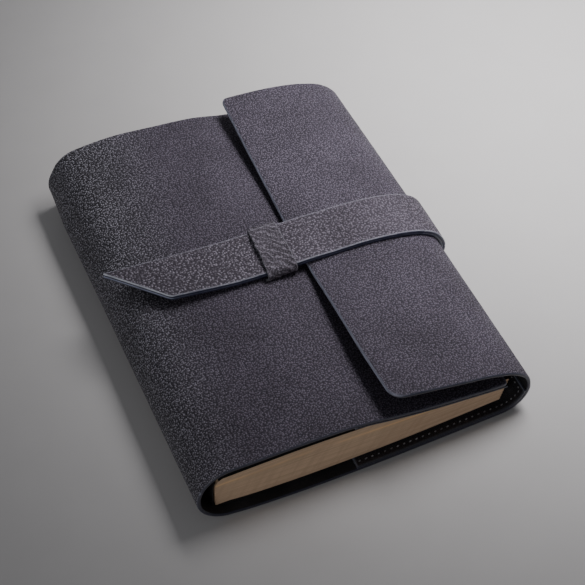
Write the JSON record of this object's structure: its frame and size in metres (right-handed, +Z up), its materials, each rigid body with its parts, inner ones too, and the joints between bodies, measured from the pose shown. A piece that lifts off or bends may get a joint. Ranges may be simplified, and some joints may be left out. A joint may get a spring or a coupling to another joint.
{
  "type": "leather notebook cover",
  "caption": "Wrap-round leather cover with fore-edge flap, strap and keeper loop, closed over an A5 notebook held in its two inner pockets",
  "frame": {"origin": "centre of the base, on the surface that the back panel lies on", "axes": "+X from the spine to the fore-edge, +Y from the tail to the head, +Z up"},
  "size_m": [0.1706, 0.22, 0.0447],
  "materials": {
    "back_panel": "matt pebbled full-grain hide, cut edges painted",
    "spine": "matt pebbled full-grain hide, cut edges painted",
    "front_panel": "matt pebbled full-grain hide, cut edges painted",
    "fore_edge": "matt pebbled full-grain hide, cut edges painted",
    "flap": "matt pebbled full-grain hide, cut edges painted",
    "back_pocket": "matt pebbled full-grain hide, cut edges painted",
    "front_pocket": "matt pebbled full-grain hide, cut edges painted",
    "strap_outer": "matt pebbled full-grain hide, cut edges painted",
    "strap_lining": "matt pebbled full-grain hide, cut edges painted",
    "keeper": "matt pebbled full-grain hide, cut edges painted",
    "notebook_back_cover": "book cloth on card, matt",
    "notebook_front_cover": "book cloth on card, matt",
    "notebook_spine": "book cloth on card, matt",
    "page_section_1": "uncoated cream paper",
    "page_section_2": "uncoated cream paper",
    "page_section_3": "uncoated cream paper",
    "page_section_4": "uncoated cream paper",
    "page_section_5": "uncoated cream paper",
    "page_section_6": "uncoated cream paper",
    "page_section_7": "uncoated cream paper",
    "page_section_8": "uncoated cream paper"
  },
  "bodies": {
    "back_cover": {"back_panel": "back_panel", "back_pocket": "back_pocket", "notebook_back_cover": "notebook_back_cover", "notebook_spine": "notebook_spine", "page_section_1": "page_section_1", "page_section_2": "page_section_2", "page_section_3": "page_section_3", "page_section_4": "page_section_4", "page_section_5": "page_section_5", "page_section_6": "page_section_6", "page_section_7": "page_section_7", "page_section_8": "page_section_8"},
    "spine": {"spine": "spine"},
    "front_cover": {"front_panel": "front_panel", "front_pocket": "front_pocket", "keeper": "keeper", "notebook_front_cover": "notebook_front_cover"},
    "fore_edge": {"fore_edge": "fore_edge"},
    "flap": {"flap": "flap"},
    "strap": {"strap_outer": "strap_outer", "strap_lining": "strap_lining"}
  },
  "joints": [
    {"name": "spine_low_fold", "type": "hinge", "parent": "back_cover", "child": "spine", "pos_m": [-0.08034, 0, 0.00499], "axis": [0, -1, 0], "range_deg": [0, 87.5]},
    {"name": "spine_high_fold", "type": "hinge", "parent": "spine", "child": "front_cover", "pos_m": [-0.08034, 0, 0.02981], "axis": [0, -1, 0], "range_deg": [0, 87.5]},
    {"name": "fore_low_fold", "type": "hinge", "parent": "back_cover", "child": "fore_edge", "pos_m": [0.07769, 0, 0.00429], "axis": [0, 1, 0], "range_deg": [0, 80]},
    {"name": "fore_high_fold", "type": "hinge", "parent": "fore_edge", "child": "flap", "pos_m": [0.07886, 0, 0.02288], "axis": [0, 1, 0], "range_deg": [0, 80]},
    {"name": "strap_draw", "type": "slide", "parent": "flap", "child": "strap", "axis": [1, 0, 0], "range_m": [0, 0.088], "deforming": ["strap_outer", "strap_lining"]}
  ],
  "couplings": [
    {"joint": "spine_high_fold", "follows": "spine_low_fold", "ratio": 1},
    {"joint": "fore_high_fold", "follows": "fore_low_fold", "ratio": 1}
  ]
}
